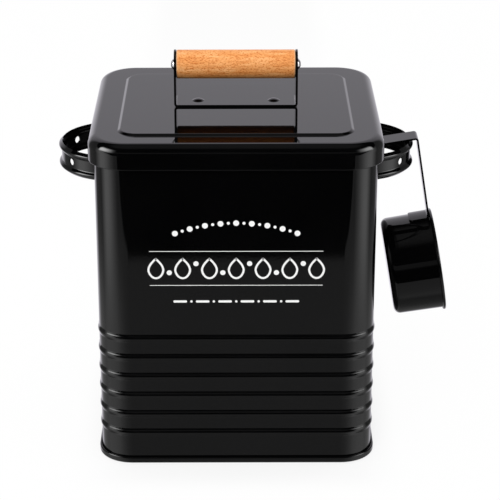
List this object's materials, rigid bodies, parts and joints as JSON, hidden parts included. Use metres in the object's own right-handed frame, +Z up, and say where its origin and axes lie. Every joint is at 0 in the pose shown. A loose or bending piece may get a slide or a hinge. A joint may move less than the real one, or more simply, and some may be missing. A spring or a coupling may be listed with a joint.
{
  "type": "laundry powder tin",
  "caption": "Ribbed sheet-metal storage tin for laundry powder, with a lift-off lid, wooden lid grip, banded side handles and a scoop hung on its hook.",
  "frame": {"origin": "middle of the base, on the surface that the tin stands on", "axes": "+Z up through the lid, -Y out of the front, +X towards the handle that carries the scoop"},
  "size_m": [0.2784, 0.185, 0.2771],
  "materials": {
    "black_paint": "gloss",
    "grip_wood": "satin",
    "screw_metal": "polished"
  },
  "bodies": {
    "tin": {"tin_wall": "black_paint", "base_panel": "black_paint", "side_handle_left": "black_paint", "side_handle_right": "black_paint", "scoop_cup": "black_paint", "scoop_strap": "black_paint"},
    "lid": {"lid_shell": "black_paint", "lid_bracket": "black_paint", "wood_grip": "grip_wood", "grip_screws": "screw_metal", "bracket_rivets": "black_paint"}
  },
  "joints": [
    {"name": "lid_lift", "type": "slide", "parent": "tin", "child": "lid", "axis": [0, 0, 1], "range_m": [0, 0.08]}
  ]
}
